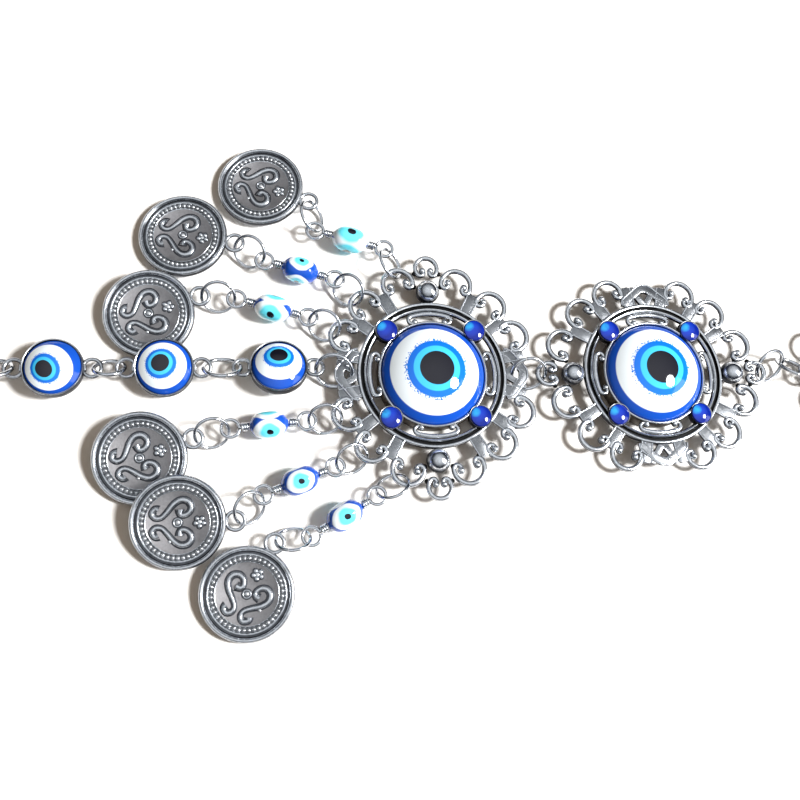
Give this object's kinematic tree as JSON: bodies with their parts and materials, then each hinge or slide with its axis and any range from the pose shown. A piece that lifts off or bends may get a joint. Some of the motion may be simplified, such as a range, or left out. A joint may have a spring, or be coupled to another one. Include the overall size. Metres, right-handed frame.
{
  "type": "evil eye wall hanging",
  "caption": "Hanging evil eye ornament: filigree silver medallions with glass eyes in a row, below them jump-ringed strands of eye beads, eye links and coins.",
  "frame": {"origin": "centre of the first medallion, on the flat back that it lies on", "axes": "+X along the chain towards the hanger, +Y across it, +Z out of the front"},
  "size_m": [0.2473, 0.0959, 0.0077],
  "materials": {
    "antique_silver": "bright cast silver plate with near-black recesses",
    "coin_silver": "struck silver plate, satin dark field, bright rim",
    "wire": "bright plated wire",
    "eye_glass": "polished opaque glass dome with blue, white, light blue and black rings",
    "lampwork_glass": "polished royal blue lampwork glass with small eyes",
    "blue_stone": "faceted blue rhinestone"
  },
  "bodies": {
    "m1": {"m1_frame": "antique_silver", "m1_eye": "eye_glass", "m1_stones": "blue_stone"},
    "s1_ring_a": {"s1_ring_a": "wire"},
    "s1_pin": {"s1_pin": "wire"},
    "s1_bead": {"s1_bead": "lampwork_glass"},
    "s1_ring_b": {"s1_ring_b": "wire"},
    "s1_coin": {"s1_coin": "coin_silver"},
    "s2_ring_a": {"s2_ring_a": "wire"},
    "s2_pin": {"s2_pin": "wire"},
    "s2_bead": {"s2_bead": "lampwork_glass"},
    "s2_ring_b": {"s2_ring_b": "wire"},
    "s2_coin": {"s2_coin": "coin_silver"},
    "s3_ring_a": {"s3_ring_a": "wire"},
    "s3_pin": {"s3_pin": "wire"},
    "s3_bead": {"s3_bead": "lampwork_glass"},
    "s3_ring_b": {"s3_ring_b": "wire"},
    "s3_coin": {"s3_coin": "coin_silver"},
    "s4_ring_a": {"s4_ring_a": "wire"},
    "s4_pin": {"s4_pin": "wire"},
    "s4_bead": {"s4_bead": "lampwork_glass"},
    "s4_ring_b": {"s4_ring_b": "wire"},
    "s4_coin": {"s4_coin": "coin_silver"},
    "s5_ring_a": {"s5_ring_a": "wire"},
    "s5_pin": {"s5_pin": "wire"},
    "s5_bead": {"s5_bead": "lampwork_glass"},
    "s5_ring_b": {"s5_ring_b": "wire"},
    "s5_coin": {"s5_coin": "coin_silver"},
    "s6_ring_a": {"s6_ring_a": "wire"},
    "s6_pin": {"s6_pin": "wire"},
    "s6_bead": {"s6_bead": "lampwork_glass"},
    "s6_ring_b": {"s6_ring_b": "wire"},
    "s6_coin": {"s6_coin": "coin_silver"},
    "c1_ring": {"c1_ring": "wire"},
    "c2_ring": {"c2_ring": "wire"},
    "c3_ring": {"c3_ring": "wire"},
    "c4_ring": {"c4_ring": "wire"},
    "link1": {"link1_frame": "antique_silver", "link1_eye": "eye_glass"},
    "link2": {"link2_frame": "antique_silver", "link2_eye": "eye_glass"},
    "link3": {"link3_frame": "antique_silver", "link3_eye": "eye_glass"},
    "c_coin": {"c_coin": "coin_silver"},
    "t1_ring": {"t1_ring": "wire"},
    "t2_ring": {"t2_ring": "wire"},
    "t3_ring": {"t3_ring": "wire"},
    "t4_ring": {"t4_ring": "wire"},
    "hanger": {"hanger": "antique_silver"},
    "m2": {"m2_frame": "antique_silver", "m2_eye": "eye_glass", "m2_stones": "blue_stone"},
    "m3": {"m3_frame": "antique_silver", "m3_eye": "eye_glass", "m3_stones": "blue_stone"}
  },
  "joints": [
    {"name": "s1_ring_a_swing", "type": "hinge", "parent": "m1", "child": "s1_ring_a", "pos_m": [-0.00628, 0.01993, 0.00285], "axis": [0.9659, 0.2588, 0], "range_deg": [-10, 5]},
    {"name": "s1_pin_swing", "type": "hinge", "parent": "s1_ring_a", "child": "s1_pin", "pos_m": [-0.00789, 0.02592, 0.00285], "axis": [0.2588, 0.9659, 0], "range_deg": [-25, 5]},
    {"name": "s1_bead_spin", "type": "hinge", "parent": "s1_pin", "child": "s1_bead", "pos_m": [-0.01494, 0.02781, 0.00285], "axis": [-0.9659, 0.2588, 0], "continuous": true},
    {"name": "s1_ring_b_swing", "type": "hinge", "parent": "s1_pin", "child": "s1_ring_b", "pos_m": [-0.02199, 0.0297, 0.00285], "axis": [0.9962, 0.0872, 0], "range_deg": [-15, 5]},
    {"name": "s1_coin_swing", "type": "hinge", "parent": "s1_ring_b", "child": "s1_coin", "pos_m": [-0.02253, 0.03588, 0.00285], "axis": [0.342, 0.9397, 0], "range_deg": [-16, 5]},
    {"name": "s2_ring_a_swing", "type": "hinge", "parent": "m1", "child": "s2_ring_a", "pos_m": [-0.01345, 0.01494, 0.00285], "axis": [0.7071, 0.7071, 0], "range_deg": [-5, 10]},
    {"name": "s2_pin_swing", "type": "hinge", "parent": "s2_ring_a", "child": "s2_pin", "pos_m": [-0.01783, 0.01932, 0.00285], "axis": [0.2588, 0.9659, 0], "range_deg": [-5, 25]},
    {"name": "s2_bead_spin", "type": "hinge", "parent": "s2_pin", "child": "s2_bead", "pos_m": [-0.02488, 0.02121, 0.00285], "axis": [-0.9659, 0.2588, 0], "continuous": true},
    {"name": "s2_ring_b_swing", "type": "hinge", "parent": "s2_pin", "child": "s2_ring_b", "pos_m": [-0.03194, 0.0231, 0.00285], "axis": [0.5736, 0.8192, 0], "range_deg": [-5, 15]},
    {"name": "s2_coin_swing", "type": "hinge", "parent": "s2_ring_b", "child": "s2_coin", "pos_m": [-0.03701, 0.02666, 0.00285], "axis": [0.1736, 0.9848, 0], "range_deg": [-5, 16]},
    {"name": "s3_ring_a_swing", "type": "hinge", "parent": "m1", "child": "s3_ring_a", "pos_m": [-0.01785, 0.00833, 0.00285], "axis": [0.5, 0.866, 0], "range_deg": [-10, 0]},
    {"name": "s3_pin_swing", "type": "hinge", "parent": "s3_ring_a", "child": "s3_pin", "pos_m": [-0.02322, 0.01143, 0.00285], "axis": [0.2588, 0.9659, 0], "range_deg": [-25, 0]},
    {"name": "s3_bead_spin", "type": "hinge", "parent": "s3_pin", "child": "s3_bead", "pos_m": [-0.03027, 0.01332, 0.00285], "axis": [-0.9659, 0.2588, 0], "continuous": true},
    {"name": "s3_ring_b_swing", "type": "hinge", "parent": "s3_pin", "child": "s3_ring_b", "pos_m": [-0.03733, 0.0152, 0.00285], "axis": [0.0872, 0.9962, 0], "range_deg": [-15, 0]},
    {"name": "s3_coin_swing", "type": "hinge", "parent": "s3_ring_b", "child": "s3_coin", "pos_m": [-0.0435, 0.01574, 0.00285], "axis": [-0.342, 0.9397, 0], "range_deg": [-16, 0]},
    {"name": "s4_ring_a_swing", "type": "hinge", "parent": "m1", "child": "s4_ring_a", "pos_m": [-0.01785, -0.00833, 0.00285], "axis": [-0.0872, 0.9962, 0], "range_deg": [-10, 0]},
    {"name": "s4_pin_swing", "type": "hinge", "parent": "s4_ring_a", "child": "s4_pin", "pos_m": [-0.02403, -0.00887, 0.00285], "axis": [-0.0872, 0.9962, 0], "range_deg": [-25, 0]},
    {"name": "s4_bead_spin", "type": "hinge", "parent": "s4_pin", "child": "s4_bead", "pos_m": [-0.0313, -0.0095, 0.00285], "axis": [-0.9962, -0.0872, 0], "continuous": true},
    {"name": "s4_ring_b_swing", "type": "hinge", "parent": "s4_pin", "child": "s4_ring_b", "pos_m": [-0.03858, -0.01014, 0.00285], "axis": [-0.2588, 0.9659, 0], "range_deg": [-15, 0]},
    {"name": "s4_coin_swing", "type": "hinge", "parent": "s4_ring_b", "child": "s4_coin", "pos_m": [-0.04456, -0.01174, 0.00285], "axis": [-0.342, 0.9397, 0], "range_deg": [-16, 0]},
    {"name": "s5_ring_a_swing", "type": "hinge", "parent": "m1", "child": "s5_ring_a", "pos_m": [-0.01345, -0.01494, 0.00285], "axis": [-0.4226, 0.9063, 0], "range_deg": [0, 10]},
    {"name": "s5_pin_swing", "type": "hinge", "parent": "s5_ring_a", "child": "s5_pin", "pos_m": [-0.01907, -0.01756, 0.00285], "axis": [-0.342, 0.9397, 0], "range_deg": [0, 25]},
    {"name": "s5_bead_spin", "type": "hinge", "parent": "s5_pin", "child": "s5_bead", "pos_m": [-0.02593, -0.02005, 0.00285], "axis": [-0.9397, -0.342, 0], "continuous": true},
    {"name": "s5_ring_b_swing", "type": "hinge", "parent": "s5_pin", "child": "s5_ring_b", "pos_m": [-0.03279, -0.02255, 0.00285], "axis": [-0.7071, 0.7071, 0], "range_deg": [0, 15]},
    {"name": "s5_coin_swing", "type": "hinge", "parent": "s5_ring_b", "child": "s5_coin", "pos_m": [-0.03717, -0.02694, 0.00285], "axis": [0, 1, 0], "range_deg": [0, 16]},
    {"name": "s6_ring_a_swing", "type": "hinge", "parent": "m1", "child": "s6_ring_a", "pos_m": [-0.00628, -0.01993, 0.00285], "axis": [-0.5, 0.866, 0], "range_deg": [-10, 5]},
    {"name": "s6_pin_swing", "type": "hinge", "parent": "s6_ring_a", "child": "s6_pin", "pos_m": [-0.01165, -0.02303, 0.00285], "axis": [-0.5, 0.866, 0], "range_deg": [-25, 5]},
    {"name": "s6_bead_spin", "type": "hinge", "parent": "s6_pin", "child": "s6_bead", "pos_m": [-0.01798, -0.02668, 0.00285], "axis": [-0.866, -0.5, 0], "continuous": true},
    {"name": "s6_ring_b_swing", "type": "hinge", "parent": "s6_pin", "child": "s6_ring_b", "pos_m": [-0.0243, -0.03033, 0.00285], "axis": [-0.0872, 0.9962, 0], "range_deg": [-15, 5]},
    {"name": "s6_coin_swing", "type": "hinge", "parent": "s6_ring_b", "child": "s6_coin", "pos_m": [-0.03047, -0.03087, 0.00285], "axis": [-0.866, 0.5, 0], "range_deg": [-16, 5]},
    {"name": "c1_ring_swing", "type": "hinge", "parent": "m1", "child": "c1_ring", "pos_m": [-0.0157, 0, 0.00285], "axis": [0.225, 0.9744, 0], "range_deg": [0, 15]},
    {"name": "link1_swing", "type": "hinge", "parent": "c1_ring", "child": "link1", "pos_m": [-0.02233, 0.00153, 0.00285], "axis": [0, 1, 0], "range_deg": [0, 20]},
    {"name": "c2_ring_swing", "type": "hinge", "parent": "link1", "child": "c2_ring", "pos_m": [-0.03633, 0.00153, 0.00285], "axis": [0, 1, 0], "range_deg": [0, 15]},
    {"name": "link2_swing", "type": "hinge", "parent": "c2_ring", "child": "link2", "pos_m": [-0.04313, 0.00153, 0.00285], "axis": [0, 1, 0], "range_deg": [0, 20]},
    {"name": "c3_ring_swing", "type": "hinge", "parent": "link2", "child": "c3_ring", "pos_m": [-0.05713, 0.00153, 0.00285], "axis": [0, 1, 0], "range_deg": [0, 15]},
    {"name": "link3_swing", "type": "hinge", "parent": "c3_ring", "child": "link3", "pos_m": [-0.06253, 0.00153, 0.00285], "axis": [0, 1, 0], "range_deg": [0, 20]},
    {"name": "c4_ring_swing", "type": "hinge", "parent": "link3", "child": "c4_ring", "pos_m": [-0.07653, 0.00153, 0.00285], "axis": [0, 1, 0], "range_deg": [0, 15]},
    {"name": "c_coin_swing", "type": "hinge", "parent": "c4_ring", "child": "c_coin", "pos_m": [-0.08273, 0.00153, 0.00285], "axis": [0, 1, 0], "range_deg": [0, 20]},
    {"name": "t1_ring_turn", "type": "hinge", "parent": "m1", "child": "t1_ring", "pos_m": [0.0157, 0, 0.00285], "axis": [0, 0, 1], "range_deg": [-12, 12]},
    {"name": "m2_swing", "type": "hinge", "parent": "t1_ring", "child": "m2", "pos_m": [0.0225, 0, 0.00285], "axis": [0, -1, 0], "range_deg": [-12, 12]},
    {"name": "t2_ring_turn", "type": "hinge", "parent": "m2", "child": "t2_ring", "pos_m": [0.0677, 0, 0.00285], "axis": [0, 0, 1], "range_deg": [-15, 15]},
    {"name": "t3_ring_swing", "type": "hinge", "parent": "t2_ring", "child": "t3_ring", "pos_m": [0.07327, 0.0026, 0.00285], "axis": [0, -1, 0], "range_deg": [-20, 20]},
    {"name": "m3_swing", "type": "hinge", "parent": "t3_ring", "child": "m3", "pos_m": [0.07907, 0, 0.00285], "axis": [0, -1, 0], "range_deg": [-6, 15]},
    {"name": "t4_ring_turn", "type": "hinge", "parent": "m3", "child": "t4_ring", "pos_m": [0.12427, 0, 0.00285], "axis": [0, 0, 1], "range_deg": [-15, 15]},
    {"name": "hanger_swing", "type": "hinge", "parent": "t4_ring", "child": "hanger", "pos_m": [0.13107, 0, 0.00285], "axis": [0, -1, 0], "range_deg": [-8, 20]}
  ]
}
